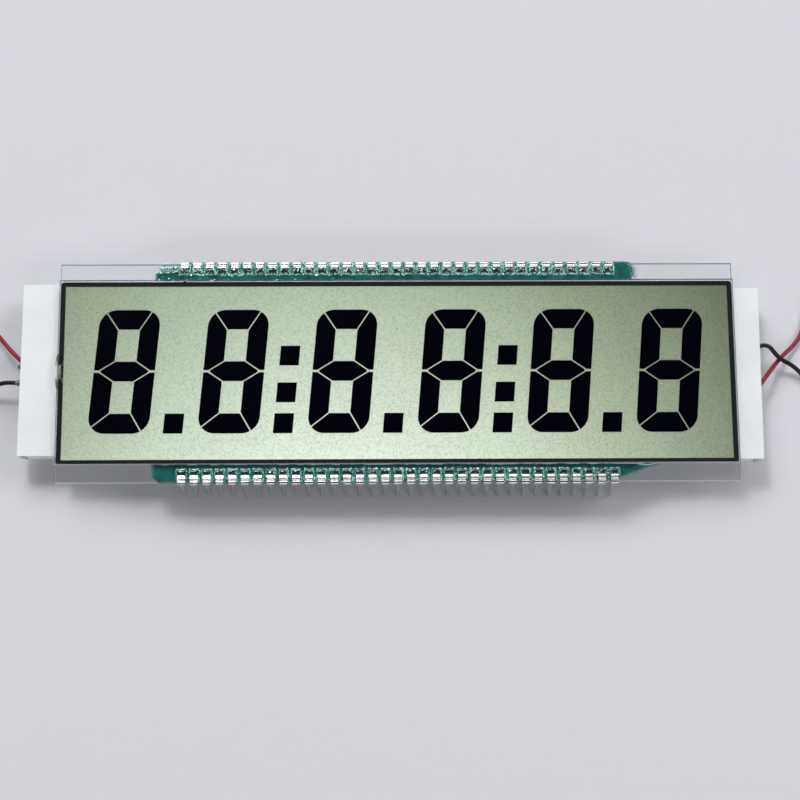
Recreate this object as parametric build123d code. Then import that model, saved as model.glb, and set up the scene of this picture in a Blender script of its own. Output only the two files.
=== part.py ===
from build123d import *

# A six-digit seven-segment liquid crystal display lying face up on its own side-lit backlight.
# +X runs along the digits, +Y is the top of the digits and +Z comes out of the face.
# The origin is under the middle of the backlight, on the plane where the pin tips stand.
# The display's own middle lies on Y = 0, and the backlight sits a little off it, as assembled.

import os
from math import atan2, cos, hypot, pi, radians, sin, tan

# Digits, all leaning to the right
digit_count = 6
digit_height = 25.5
digit_width = 12.26
digit_gap = 9.74
digit_pitch = digit_width + digit_gap
bar_height = 4.05
bar_width = 3.93
digit_corner_radius = 3.4
lean_angle = 4.9
segment_gap = 0.25
side_gap = 0.5
middle_tip_inset = 0.85
top_left_cut = (1.45, 0.75)  # where each slanted gap leaves the outline, from its corner
top_right_cut = (2.0, 0.66)
bottom_left_cut = (0.9, 1.5)
bottom_right_cut = (1.6, 0.5)
dot_width = 3.9
colon_heights = (3.2, -4.4)
colon_digits = (2, 4)
dot_digits = (1, 2, 3, 4, 5)

# Glass cell, sized round the digits
side_margin = 7.27
top_margin = 6.05
bottom_margin = 6.35
top_ledge = 3.85
bottom_ledge = 3.55
glass_length = digit_count * digit_pitch - digit_gap + 2 * side_margin
front_glass_width = digit_height + top_margin + bottom_margin
rear_glass_width = front_glass_width + top_ledge + bottom_ledge
glass_thickness = 1.1
crystal_thickness = 0.1  # the real layer is a few microns thick
electrode_thickness = 0.05  # the real film is thinner still
polariser_thickness = 0.25
polariser_inset = 0.4
display_shift = 1.2  # the display's middle, to the right of the backlight's middle

# Seal between the glasses, and the fill port in its left side
seal_width = 0.8
seal_inset = 0.35
seal_bottom_inset = 0.2
seal_corner_radius = 0.6
mouth_width = 2.8
mouth_flare = 1.1
dam_width = 0.3
dam_length = 2.6
dam_clearance = 0.04
end_seal_length = 7.4
end_seal_bulge = 0.6
end_seal_height = 1.6
end_seal_plug = 0.35
crossover_radius = 0.42

# Clip-on pins, bent from strip, along both long edges of the rear glass
pin_count = 35
pin_pitch = 2.54
strip_thickness = 0.25
clip_width = 1.5
clip_clearance = 0.02
finger_reach = 2.95
finger_contact = 2.35
finger_crest = 1.35
finger_dip = 0.65
finger_flare = 0.28
crest_rise = 0.4
dip_rise = 0.14
prong_reach = 1.3
prong_width = 0.45
web_gap = 0.24
leg_width = 0.5
leg_drop = 7.8
leg_splay = 9.0

# Potting resin over the clips
resin_height = 0.34
resin_climb = 0.6
resin_meniscus = 0.5
resin_skirt = 0.2
resin_hang = 0.65
resin_left = 49.5
resin_right_upper = 49.4
resin_right_lower = 53.4
resin_run_out = 8.8  # how far the lower bead's right end slants back
resin_clearance = 0.03
resin_end_radius = 1.2

# Backlight, which pokes out past the glass at both ends and stays inside the pin rows
backlight_overhang = 6.6
backlight_inset = 0.95
backlight_length = glass_length + 2 * backlight_overhang
backlight_width = front_glass_width - 2 * backlight_inset
backlight_height = 3.6
backlight_shift = 0.5  # towards the top of the digits
tray_wall = 0.5
tray_floor = 0.5
diffuser_thickness = 0.2
reflector_thickness = 0.15
board_thickness = 0.8
board_wall_gap = 0.4
board_stick_out = 0.2
led_count = 8
led_end_gap = 1.3  # from the last diode to the tray's wall
led_width = 3.0
led_height = 1.4
led_depth = 0.8
guide_clearance = 0.05

# Leads: insulated wires soldered to each light board
lead_diameter = 0.9
tube_sides = 6
coil_sides = 24
solder_radius = 0.53
lead_height = 1.05  # above the tray's underside
notch_clearance = 0.1
coil_strap = 0.15
coil_outer_turn = 5.5
coil_inner_turn = 4.55
coil_layer_rise = 0.82
tip_diameter = 0.56
tip_length = 4.6
tip_root = 0.1
tip_clearance = 0.03
tie_width = 1.3

# Levels, from the pin tips up
cell_gap = crystal_thickness + electrode_thickness
glass_bottom = leg_drop
glass_top = glass_bottom + glass_thickness
electrode_level = glass_top + crystal_thickness
cell_top = glass_top + cell_gap
front_top = cell_top + glass_thickness
backlight_top = glass_bottom - polariser_thickness
backlight_bottom = backlight_top - backlight_height
rear_edge = rear_glass_width / 2

# Middles along Y: the rear glass lies on Y = 0
front_middle = (bottom_ledge - top_ledge) / 2
digits_middle = front_middle + (bottom_margin - top_margin) / 2
seal_middle = front_middle + (seal_bottom_inset - seal_inset) / 2


def plate(length, width, height, low, middle=(0, 0)):
    """A flat rectangular sheet standing on the level called low."""
    return Pos(middle[0], middle[1], low + height / 2) * Box(length, width, height)


def leaned(x, y):
    """A point of an upright figure, pushed over to the digits' slant."""
    return (x + y * tan(radians(lean_angle)), y)


def leaned_shape(*points):
    return make_face(Polyline(*[leaned(*p) for p in points], close=True))


def gap_strip(start, end, width, past=segment_gap):
    """A slanted four-sided strip that runs a little before its start and past its end."""
    run = hypot(end[0] - start[0], end[1] - start[1])
    along = ((end[0] - start[0]) / run, (end[1] - start[1]) / run)
    a = (start[0] - width * along[0], start[1] - width * along[1])
    b = (end[0] + past * along[0], end[1] + past * along[1])
    side = (-along[1] * width / 2, along[0] * width / 2)
    return leaned_shape(
        (a[0] + side[0], a[1] + side[1]),
        (b[0] + side[0], b[1] + side[1]),
        (b[0] - side[0], b[1] - side[1]),
        (a[0] - side[0], a[1] - side[1]),
    )


def digit_outline():
    """The rounded figure eight's outer edge: straight sides and leaned quarter rounds."""
    w, h, r = digit_width / 2, digit_height / 2, digit_corner_radius
    handle = r * 4 * (2**0.5 - 1) / 3
    edges = []
    for sx, sy in ((1, 1), (-1, 1), (-1, -1), (1, -1)):
        upright = (sx * w, sy * (h - r)), (sx * w, sy * (h - r + handle))
        level = (sx * (w - r + handle), sy * h), (sx * (w - r), sy * h)
        corner = upright + level if sx == sy else tuple(reversed(upright + level))
        edges.append([leaned(*p) for p in corner])
    lines = [Bezier(*e) for e in edges]
    joins = [Line(edges[i][-1], edges[(i + 1) % 4][0]) for i in range(4)]
    return make_face(lines + joins)


def digit_sketch():
    """The seven segments of one digit as seven separate faces."""
    w, h = digit_width / 2, digit_height / 2
    inner = w - bar_width
    half_bar = bar_height / 2
    shape = digit_outline()
    for low, high in ((half_bar, h - bar_height), (bar_height - h, -half_bar)):
        shape -= leaned_shape((-inner, low), (inner, low), (inner, high), (-inner, high))
    cuts = {
        (-1, 1): top_left_cut,
        (1, 1): top_right_cut,
        (-1, -1): bottom_left_cut,
        (1, -1): bottom_right_cut,
    }
    for (sx, sy), (cut_x, cut_y) in cuts.items():
        leaves = (sx * (w - cut_x), sy * (h - cut_y))
        start = (sx * inner, sy * (h - bar_height))
        shape -= gap_strip(start, leaves, segment_gap, past=bar_width / 3)
        tip = (sx * (w - middle_tip_inset), 0)
        shape -= gap_strip((sx * inner, sy * half_bar), tip, segment_gap)
    for sx in (-1, 1):
        shape -= gap_strip((sx * (w - middle_tip_inset), 0), (sx * w, 0), side_gap)
    return shape


def dot_sketch(middle):
    w, h = dot_width / 2, bar_height / 2
    return leaned_shape(
        (-w, middle - h), (w, middle - h), (w, middle + h), (-w, middle + h)
    )


def digit_place(number):
    """The middle of a digit, counted from 1 at the left; 1.5 is between digits 1 and 2."""
    return display_shift + (number - (digit_count + 1) / 2) * digit_pitch


def printed_faces():
    """The electrodes of every area that turns dark, by node name."""
    faces = {}
    figure = digit_sketch()
    for number in range(1, digit_count + 1):
        faces[f"digit_{number}"] = Pos(digit_place(number), digits_middle) * figure
    point = dot_sketch((bar_height - digit_height) / 2)
    places = [digit_place(n + 0.5) for n in dot_digits]
    faces["decimal_points"] = Sketch() + [Pos(x, digits_middle) * point for x in places]
    colons = []
    for n in colon_digits:
        place = Pos(digit_place(n + 0.5), digits_middle)
        colons += [place * dot_sketch(y) for y in colon_heights]
    faces["colon_dots"] = Sketch() + colons
    return faces


def seal_size(depth):
    """The sides of the seal's outer edge, or of the rectangle that is depth further in."""
    length = glass_length - 2 * (seal_inset + depth)
    return length, front_glass_width - seal_inset - seal_bottom_inset - 2 * depth


def perimeter_seal():
    """The dark seal line, with a flared mouth in the middle of its left side."""
    outer = RectangleRounded(*seal_size(0), seal_corner_radius)
    inner = Rectangle(*seal_size(seal_width))
    left = -seal_size(0)[0] / 2
    half = mouth_width / 2
    mouth = make_face(
        Polyline(
            (left - 1, half),
            (left + seal_width / 3, half),
            (left + seal_width, half + mouth_flare),
            (left + seal_width + 1, half + mouth_flare),
            (left + seal_width + 1, -half - mouth_flare),
            (left + seal_width, -half - mouth_flare),
            (left + seal_width / 3, -half),
            (left - 1, -half),
            close=True,
        )
    )
    ring = Pos(display_shift, seal_middle) * (outer - inner - Pos(0, -seal_middle) * mouth)
    return Pos(0, 0, glass_top) * extrude(ring, amount=cell_gap)


def fill_port_dam():
    """The short island of seal that stands in the mouth."""
    x = display_shift - (seal_size(seal_width)[0] + dam_width) / 2 - dam_clearance
    return plate(dam_width, dam_length, cell_gap, glass_top, (x, 0))


def end_seal():
    """Clear resin that closes the fill port: a lens outside and a plug between the glasses."""
    edge = display_shift - glass_length / 2
    half = end_seal_length / 2
    lens = make_face(
        ThreePointArc((edge, half), (edge - end_seal_bulge, 0), (edge, -half))
        + Line((edge, -half), (edge, half))
    )
    middle = glass_top + cell_gap / 2
    body = Pos(0, 0, middle - end_seal_height / 2) * extrude(lens, amount=end_seal_height)
    body = chamfer(body.edges().filter_by(GeomType.CIRCLE), end_seal_bulge / 3)
    reach = seal_inset + end_seal_plug
    plug = plate(reach, mouth_width - 0.1, cell_gap, glass_top, (edge + reach / 2, 0))
    return body + plug


def crossover_dots():
    """Conductive dots that join the two glasses, just outside the seal, beside the first pins."""
    x = display_shift + pin_offset(0)
    half = seal_size(0)[1] / 2
    places = [Pos(x, seal_middle + side * half) for side in (1, -1)]
    face = Sketch() + [place * Circle(crossover_radius) for place in places]
    face &= Pos(display_shift, front_middle) * Rectangle(glass_length, front_glass_width)
    face -= Pos(display_shift, seal_middle) * Rectangle(*seal_size(0))
    return Pos(0, 0, glass_top) * extrude(face, amount=cell_gap)


def liquid_crystal():
    """The thin layer inside the seal, under the electrodes."""
    middle = (display_shift, seal_middle)
    return plate(*seal_size(seal_width), crystal_thickness, glass_top, middle)


def polariser(width, low):
    size = glass_length - 2 * polariser_inset, width - 2 * polariser_inset
    return plate(*size, polariser_thickness, low, (display_shift, front_middle))


def pin_offset(index):
    return (index - (pin_count - 1) / 2) * pin_pitch


def strip_outline(centre_line, thickness):
    """Both sides of a bent strip, with mitred corners, from the line through its middle."""
    left, right = [], []
    for i, (x, y) in enumerate(centre_line):
        before = centre_line[max(i - 1, 0)]
        after = centre_line[min(i + 1, len(centre_line) - 1)]
        turns = []
        for a, b in ((before, (x, y)), ((x, y), after)):
            if a != b:
                turns.append(atan2(b[1] - a[1], b[0] - a[0]))
        half_turn = (turns[-1] - turns[0]) / 2
        normal = turns[0] + half_turn + pi / 2
        reach = thickness / 2 / cos(half_turn)
        left.append((x + reach * cos(normal), y + reach * sin(normal)))
        right.append((x - reach * cos(normal), y - reach * sin(normal)))
    return left + right[::-1]


def finger_end():
    """How far in from the glass's edge the upturned end of a finger reaches."""
    flare = atan2(finger_flare, finger_reach - finger_contact)
    return finger_reach + strip_thickness / 2 * sin(flare)


def clip_pin():
    """One pin of the lower row at X = 0: a sprung finger over the glass, a web, two prongs
    under the glass and a leg that leans outwards."""
    half = strip_thickness / 2
    seat = glass_top + clip_clearance + half
    web = web_gap + half
    web_end = glass_bottom - clip_clearance - strip_thickness
    finger = [
        (-finger_reach, seat + finger_flare),
        (-finger_contact, seat),
        (-finger_crest, seat + crest_rise),
        (-finger_dip, seat + dip_rise),
        (web, seat + crest_rise),
        (web, web_end),
    ]
    outline = [(0, -rear_edge - u, z) for u, z in strip_outline(finger, strip_thickness)]
    clip = extrude(
        make_face(Polyline(*outline, close=True)), amount=clip_width / 2, dir=(1, 0, 0), both=True
    )
    reach = prong_reach + web
    y = -rear_edge + (prong_reach - web) / 2
    for side in (-1, 1):
        x = side * (clip_width - prong_width) / 2
        clip += plate(prong_width, reach, strip_thickness, web_end, (x, y))
    top = web_end + half
    slant = radians(leg_splay)
    run = top / cos(slant) + strip_thickness
    leg = Box(leg_width, strip_thickness, run, align=(Align.CENTER, Align.CENTER, Align.MAX))
    leg = Pos(0, -rear_edge - web, top) * Rot(-leg_splay, 0, 0) * leg
    below = plate(clip_width, leg_drop, 1, -1, (0, -rear_edge - web - leg_drop * tan(slant)))
    return clip + (leg - below)


def pin_row(pin):
    return [Pos(display_shift + pin_offset(i), 0, 0) * pin for i in range(pin_count)]


def pin_resin(right_end, run_out, ledge):
    """The bead over the lower row: it climbs the front glass, hangs over the rear glass's edge
    and leaves a pocket for each clip."""
    wall = rear_edge - ledge + resin_clearance
    section = [
        (-wall, glass_top),
        (-wall, glass_top + resin_climb),
        (-wall - resin_meniscus, glass_top + resin_height),
        (-rear_edge, glass_top + resin_height),
        (-rear_edge - resin_skirt, glass_top),
        (-rear_edge - resin_skirt, glass_top - resin_hang),
        (-rear_edge, glass_top - resin_hang - resin_skirt),
        (-rear_edge, glass_top),
    ]
    face = make_face(Polyline(*[(0, y, z) for y, z in section], close=True))
    length = resin_left + right_end
    bead = Pos(display_shift - resin_left, 0, 0) * extrude(face, amount=length, dir=(1, 0, 0))
    outer = rear_edge + resin_skirt + resin_clearance
    plan = make_face(
        Polyline(
            (-resin_left, -wall),
            (right_end, -wall),
            (right_end - run_out, -outer),
            (-resin_left, -outer),
            close=True,
        )
    )
    corners = plan.vertices().filter_by(lambda v: v.Y < -rear_edge)
    plan = fillet(corners, resin_end_radius)
    bead &= Pos(display_shift, 0, 0) * extrude(plan, amount=front_top)
    width = clip_width + 2 * resin_clearance
    depth = finger_end() + 2 * resin_clearance + resin_skirt
    middle = -rear_edge - resin_skirt - resin_clearance + depth / 2
    pockets = []
    for i in range(pin_count):
        x = display_shift + pin_offset(i)
        pockets.append(plate(width, depth, resin_climb, glass_top, (x, middle)))
    return bead - pockets


def backlight_tray():
    """The white tray: floor, rim, slots where the light boards poke out and notches for the leads."""
    tray_height = backlight_height - diffuser_thickness
    middle = (0, backlight_shift)
    body = plate(backlight_length, backlight_width, tray_height, backlight_bottom, middle)
    inside = backlight_length - 2 * tray_wall, backlight_width - 2 * tray_wall
    body -= plate(*inside, tray_height, backlight_bottom + tray_floor, middle)
    slot = board_thickness + 2 * notch_clearance
    for side in (-1, 1):
        place = (side * board_place(), backlight_shift)
        body -= plate(slot, backlight_width, tray_height, backlight_bottom + tray_floor, place)
    for name, (side, y, start) in lead_exits.items():
        low, high = lead_notch(name)
        size = tray_wall + notch_clearance, high - low
        x = side * (backlight_length - tray_wall) / 2
        body -= plate(*size, tray_height, backlight_bottom + tray_floor, (x, (low + high) / 2))
    return body


def lead_notch(name):
    """The ends along Y of the notch that lets a lead and its solder through the tray's wall."""
    side, y, start = lead_exits[name]
    first, first_y = lead_routes[name][0][:2]
    slope = (first_y - y) / (first - start)
    leaves = y + max(board_wall_gap + tray_wall - start, 0) * slope
    half = lead_diameter / 2 * hypot(1, slope)
    solder_y = solder_places[name][0]
    low = min(y - half, leaves - half, solder_y - solder_radius)
    high = max(y + half, leaves + half, solder_y + solder_radius)
    return low - notch_clearance, high + notch_clearance


def board_place():
    """How far the middle of each light board is from the middle of the backlight."""
    return backlight_length / 2 - tray_wall - board_wall_gap - board_thickness / 2


def light_board(side):
    height = backlight_height - diffuser_thickness - tray_floor - guide_clearance
    size = board_thickness, backlight_width + 2 * board_stick_out
    middle = (side * board_place(), backlight_shift)
    return plate(*size, height, backlight_bottom + tray_floor, middle)


def light_diodes(side):
    """The row of light diodes on one board, facing the light guide."""
    height = backlight_height - diffuser_thickness - tray_floor
    middle = backlight_bottom + tray_floor + height / 2
    row_length = backlight_width - 2 * (tray_wall + led_end_gap)
    led_pitch = (row_length - led_width) / (led_count - 1)
    row = []
    for i in range(led_count):
        y = backlight_shift + (i - (led_count - 1) / 2) * led_pitch
        x = side * (board_place() - board_thickness / 2 - led_depth / 2)
        row.append(Pos(x, y, middle) * Box(led_depth, led_width, led_height))
    return row


def light_guide():
    length = 2 * (board_place() - board_thickness / 2 - led_depth - guide_clearance)
    low = backlight_bottom + tray_floor + reflector_thickness
    height = backlight_top - diffuser_thickness - guide_clearance - low
    width = backlight_width - 2 * tray_wall - 2 * guide_clearance
    return plate(length, width, height, low, (0, backlight_shift))


def reflector_sheet():
    guide = light_guide().bounding_box().size
    low = backlight_bottom + tray_floor
    return plate(guide.X, guide.Y, reflector_thickness, low, (0, backlight_shift))


def diffuser_sheet():
    low = backlight_top - diffuser_thickness
    size = backlight_length, backlight_width, diffuser_thickness
    return plate(*size, low, (0, backlight_shift))


# The end each lead is on, its place along Y and how far from its light board its insulation starts
lead_exits = {
    "left_red": (-1, 2.35, 0.4),
    "left_black": (-1, -1.45, 1.8),
    "right_black": (1, 5.3, 0.4),
    "right_red": (1, -3.3, 0.4),
}
# Each solder joint's place along Y and how far it stands out from its light board
solder_places = {
    "left_red": (1.9, 1.9),
    "left_black": (-1.45, 1.8),
    "right_black": (5.3, 0.4),
    "right_red": (-3.3, 0.4),
}
lead_level = backlight_bottom + lead_height
solder_face = board_place() + board_thickness / 2
floor_level = coil_strap + lead_diameter / 2

# Each lead's route from its solder joint down to its coil, which it meets along Y. Every point
# is given by how far it lies out from the light board's face, its place along Y and its level.
lead_routes = {
    "left_red": [
        (1.7, 3.55, 4.98),
        (3.7, 5.6, 4.7),
        (5.6, 7.9, 3.8),
        (7.5, 10.1, 2.3),
        (9.3, 12.2, 0.9),
    ],
    "left_black": [
        (3.3, -1.25, 4.9),
        (5.3, -1.35, 4.5),
        (7.3, -1.95, 3.3),
        (8.9, -3.3, 1.9),
        (9.8, -5.2, 0.85),
    ],
    "right_black": [
        (2.8, 6.75, 5.2),
        (5.4, 3.5, 3.9),
        (8.5, 2.5, 2.3),
        (10.9, 0.6, 1.1),
        (12.2, -2.2, 0.68),
    ],
    "right_red": [
        (1.6, -1.7, 4.95),
        (3.2, 0.4, 4.1),
        (5.1, 2.75, 2.9),
        (6.9, 4.7, 1.9),
        (9.1, 6.7, 1.1),
        (11.2, 9.4, 0.68),
    ],
}
# Each coil's middle, out from the same face and along Y, and which way its turns run there
coil_places = {
    "left_red": (15.4, 14.9, 1),
    "left_black": (15.4, -7.4, -1),
    "right_black": (17.9, -6.2, -1),
    "right_red": (17.9, 14.6, 1),
}


def fillet_radii(points):
    """The largest arc that each corner's two runs allow: an end run has one corner to share."""
    radii = []
    last = len(points) - 3
    for i, (a, b, c) in enumerate(zip(points, points[1:], points[2:])):
        before, after = Vector(*b) - Vector(*a), Vector(*c) - Vector(*b)
        turn = radians(before.get_angle(after))
        room = min(
            before.length * (0.9 if i == 0 else 0.45), after.length * (0.9 if i == last else 0.45)
        )
        radii.append(room / tan(turn / 2))
    return radii


def lead_points(name):
    side, y, start = lead_exits[name]
    out, middle_y, way = coil_places[name]
    points = [(start, y, lead_level)] + lead_routes[name]
    points.append((out - coil_outer_turn, middle_y, floor_level))
    return [(side * (solder_face + out), y, z) for out, y, z in points]


def coil_middle(name):
    out, y, way = coil_places[name]
    return lead_exits[name][0] * (solder_face + out), y


def lead_tube(name):
    points = lead_points(name)
    radii = fillet_radii(points)
    path = FilletPolyline(*points, radius=radii)
    start = Plane(origin=path @ 0, z_dir=path % 0)
    section = start * RegularPolygon(lead_diameter / 2, tube_sides, major_radius=False)
    tube = sweep(section, path=path)
    expected = section.area * path.length
    print(name, "length", round(path.length, 1), "radii", [round(r, 1) for r in radii])
    print(name, "volume", round(tube.volume, 3), "section by length", round(expected, 3))
    return max((tube - lead_coil(name)).solids(), key=lambda piece: piece.volume)


def coil_size():
    """Inner radius, outer radius and height of a wound coil."""
    half = lead_diameter / 2
    return coil_inner_turn - half, coil_outer_turn + half, coil_layer_rise + 2 * half


def lead_coil(name):
    """The outer shape of the two flat turns and the third that lies on them."""
    inner, outer, height = coil_size()
    x, y = coil_middle(name)
    ring = RegularPolygon(outer, coil_sides) - RegularPolygon(inner, coil_sides)
    return Pos(x, y, coil_strap) * extrude(ring, amount=height)


def lead_tie(name):
    """A strap round the coil's turns on the side away from the backlight."""
    side = lead_exits[name][0]
    inner, outer, height = coil_size()
    x, y = coil_middle(name)
    middle = (x + side * (inner + outer) / 2, y)
    size = outer - inner + 2 * coil_strap, tie_width
    strap = plate(*size, height + 2 * coil_strap, 0, middle)
    return strap - plate(outer - inner, tie_width, height, coil_strap, middle) - lead_coil(name)


def lead_tip(name):
    """The stripped and tinned end, which leaves the coil's upper turn and rests on the surface."""
    side = lead_exits[name][0]
    outer = coil_size()[1]
    x, y = coil_middle(name)
    way = coil_places[name][2]
    turn = (coil_inner_turn + coil_outer_turn) / 2
    leaves = (outer**2 - turn**2) ** 0.5
    high = coil_strap + coil_layer_rise + lead_diameter / 2
    start = Vector(x + side * (leaves - tip_root), y + way * turn, high)
    end = Vector(start.X + side * tip_length, start.Y, tip_diameter / 2 + tip_clearance)
    axis = Plane(origin=start, z_dir=end - start)
    section = axis * RegularPolygon(tip_diameter / 2, tube_sides, major_radius=False)
    return extrude(section, amount=(end - start).length) - lead_coil(name)


def solder_joints(side):
    """The solder that runs up each wire from its light board, cut away where the wire leaves."""
    joints = []
    for name, (y, reach) in solder_places.items():
        if lead_exits[name][0] == side:
            place = Plane(origin=(side * solder_face, y, lead_level), z_dir=(side, 0, 0))
            section = place * RegularPolygon(solder_radius, tube_sides, False, rotation=30)
            start, first = [Vector(*point) for point in lead_points(name)[:2]]
            along = Vector(first.X - start.X, first.Y - start.Y, 0)
            size = 2 * reach, lead_diameter / cos(pi / tube_sides), 2 * lead_diameter
            channel = Box(*size, align=(Align.MIN, Align.CENTER, Align.CENTER))
            cut = Plane(origin=start, x_dir=along, z_dir=(0, 0, 1)) * channel
            joint = extrude(section, amount=reach) - cut
            joints.append(max(joint.solids(), key=lambda piece: piece.volume))
    return joints


def solids_of(shapes):
    """The separate solids of one shape or of a list of shapes."""
    parts = shapes if isinstance(shapes, list) else [shapes]
    return [solid for part in parts for solid in part.solids()]


def write(name, shapes):
    export_step(Compound(solids_of(shapes)), f"parts/{name}.step")


def main():
    os.makedirs("parts", exist_ok=True)
    write("front_polariser", polariser(front_glass_width, front_top))
    middle = (display_shift, front_middle)
    front = plate(glass_length, front_glass_width, glass_thickness, cell_top, middle)
    write("front_glass", front)
    rear = plate(glass_length, rear_glass_width, glass_thickness, glass_bottom, (display_shift, 0))
    write("rear_glass", rear)
    write("rear_polariser", polariser(front_glass_width, backlight_top))
    write("perimeter_seal", perimeter_seal())
    write("fill_port_dam", fill_port_dam())
    write("end_seal", end_seal())
    write("crossover_dots", crossover_dots())
    write("liquid_crystal", liquid_crystal())
    for name, area in printed_faces().items():
        write(name, Pos(0, 0, electrode_level) * extrude(area, amount=electrode_thickness))

    pin = clip_pin()
    lower = pin_row(pin)
    write("lower_pins", lower)
    write("upper_pins", [mirror(p, about=Plane.XZ) for p in lower])
    write("lower_pin_resin", pin_resin(resin_right_lower, resin_run_out, bottom_ledge))
    upper_resin = pin_resin(resin_right_upper, 0, top_ledge)
    write("upper_pin_resin", mirror(upper_resin, about=Plane.XZ))

    write("backlight_tray", backlight_tray())
    write("light_guide", light_guide())
    write("reflector_sheet", reflector_sheet())
    write("diffuser_sheet", diffuser_sheet())
    for label, side in (("left", -1), ("right", 1)):
        write(f"{label}_light_board", light_board(side))
        write(f"{label}_light_diodes", light_diodes(side))
        write(f"{label}_solder_joints", solder_joints(side))
    for name in lead_exits:
        write(f"{name}_lead", lead_tube(name))
        write(f"{name}_coil", lead_coil(name))
        write(f"{name}_tie", lead_tie(name))
        write(f"{name}_tip", lead_tip(name))


main()
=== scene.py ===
import math

import bpy
from mathutils import Matrix, Vector, noise


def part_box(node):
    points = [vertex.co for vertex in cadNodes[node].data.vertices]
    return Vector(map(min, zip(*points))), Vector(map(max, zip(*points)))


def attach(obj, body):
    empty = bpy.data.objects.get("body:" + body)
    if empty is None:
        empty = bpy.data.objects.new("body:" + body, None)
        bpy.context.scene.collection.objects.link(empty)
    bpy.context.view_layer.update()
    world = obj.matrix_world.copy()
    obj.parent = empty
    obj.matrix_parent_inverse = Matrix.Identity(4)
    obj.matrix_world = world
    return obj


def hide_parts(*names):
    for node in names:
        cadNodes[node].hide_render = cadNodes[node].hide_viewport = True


# A six-digit segment display glass on its white side-lit backlight, seen almost from straight above.
# Sizes in the dictionaries are millimetres, and mm turns them into the metres of the meshes.
mm = 0.001

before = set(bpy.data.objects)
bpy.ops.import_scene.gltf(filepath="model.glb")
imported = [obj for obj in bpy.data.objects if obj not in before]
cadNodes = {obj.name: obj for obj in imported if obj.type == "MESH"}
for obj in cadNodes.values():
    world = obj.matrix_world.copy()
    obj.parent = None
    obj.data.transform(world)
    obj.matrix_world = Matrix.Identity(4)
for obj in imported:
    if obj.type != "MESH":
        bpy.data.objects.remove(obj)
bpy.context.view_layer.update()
print("frame loaded:", len(cadNodes), "nodes")


def smoothStep(value):
    t = min(max(value, 0), 1)
    return t * t * (3 - 2 * t)


# Helpers for materials
def hexColour(code):
    # sRGB hex to the linear values that the shaders use
    parts = [int(code[i : i + 2], 16) / 255 for i in (1, 3, 5)]
    linear = [c / 12.92 if c <= 0.04045 else ((c + 0.055) / 1.055) ** 2.4 for c in parts]
    return (*linear, 1.0)


def newMaterial(name):
    material = bpy.data.materials.new(name)
    material.use_nodes = True
    material.node_tree.nodes.clear()
    return material


def addNode(material, kind, values=None, links=None, **settings):
    node = material.node_tree.nodes.new(kind)
    for key, value in settings.items():
        setattr(node, key, value)
    for key, value in (values or {}).items():
        node.inputs[key].default_value = value
    for key, source in (links or {}).items():
        material.node_tree.links.new(source, node.inputs[key])
    return node


def addRamp(material, factor, stops):
    # stops is a list of (place, hex colour)
    ramp = addNode(material, "ShaderNodeValToRGB", links={"Fac": factor})
    while len(ramp.color_ramp.elements) < len(stops):
        ramp.color_ramp.elements.new(0.5)
    for element, (place, code) in zip(ramp.color_ramp.elements, stops):
        element.position = place
        element.color = hexColour(code)
    return ramp.outputs["Color"]


def addOutput(material, shader):
    addNode(material, "ShaderNodeOutputMaterial", links={"Surface": shader})
    return material


def grain(material, size, detail, stretch=(1, 1, 1)):
    # a noise whose lumps are about size millimetres across, on the piece's own coordinates
    place = addNode(material, "ShaderNodeTexCoord").outputs["Object"]
    mapping = addNode(material, "ShaderNodeMapping", {"Scale": stretch}, {"Vector": place})
    values = {"Scale": 1 / (size * mm), "Detail": detail}
    return addNode(material, "ShaderNodeTexNoise", values, {"Vector": mapping.outputs[0]}).outputs["Fac"]


def bumpFrom(material, height, depth):
    # depth in millimetres
    values = {"Strength": 1.0, "Distance": depth * mm}
    return addNode(material, "ShaderNodeBump", values, {"Height": height}).outputs["Normal"]


def mixColours(material, factor, first, second, blend="MIX"):
    # the factor and both colours are sockets or plain values
    inputs = {"Fac": factor, "Color1": first, "Color2": second}
    links = {key: value for key, value in inputs.items() if isinstance(value, bpy.types.NodeSocket)}
    values = {key: value for key, value in inputs.items() if key not in links}
    return addNode(material, "ShaderNodeMixRGB", values, links, blend_type=blend).outputs[0]


def mottled(name, lumps, tones, values, relief=None):
    # noise between two tones: lumps is a grain's settings, relief those of another and its depth
    material = newMaterial(name)
    links = {"Base Color": addRamp(material, grain(material, *lumps), tones)}
    if relief:
        links["Normal"] = bumpFrom(material, grain(material, *relief[:-1]), relief[-1])
    shader = addNode(material, "ShaderNodeBsdfPrincipled", values, links)
    return addOutput(material, shader.outputs["BSDF"])


# Helpers for pieces
def deselectAll():
    if bpy.context.mode != "OBJECT":
        bpy.ops.object.mode_set(mode="OBJECT")
    bpy.ops.object.select_all(action="DESELECT")


def makeActive(piece):
    deselectAll()
    piece.select_set(True)
    bpy.context.view_layer.objects.active = piece


def settle(piece, name):
    # the object goes to the origin, with its place in its mesh
    makeActive(piece)
    bpy.ops.object.transform_apply(location=True, rotation=True, scale=True)
    piece.name = name
    piece.data.name = name
    return piece


def applyModifier(piece, kind, **settings):
    makeActive(piece)
    modifier = piece.modifiers.new(kind.lower(), kind)
    for key, value in settings.items():
        setattr(modifier, key, value)
    bpy.ops.object.modifier_apply(modifier=modifier.name)


def editAll():
    bpy.ops.object.mode_set(mode="EDIT")
    bpy.ops.mesh.select_all(action="SELECT")


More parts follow.
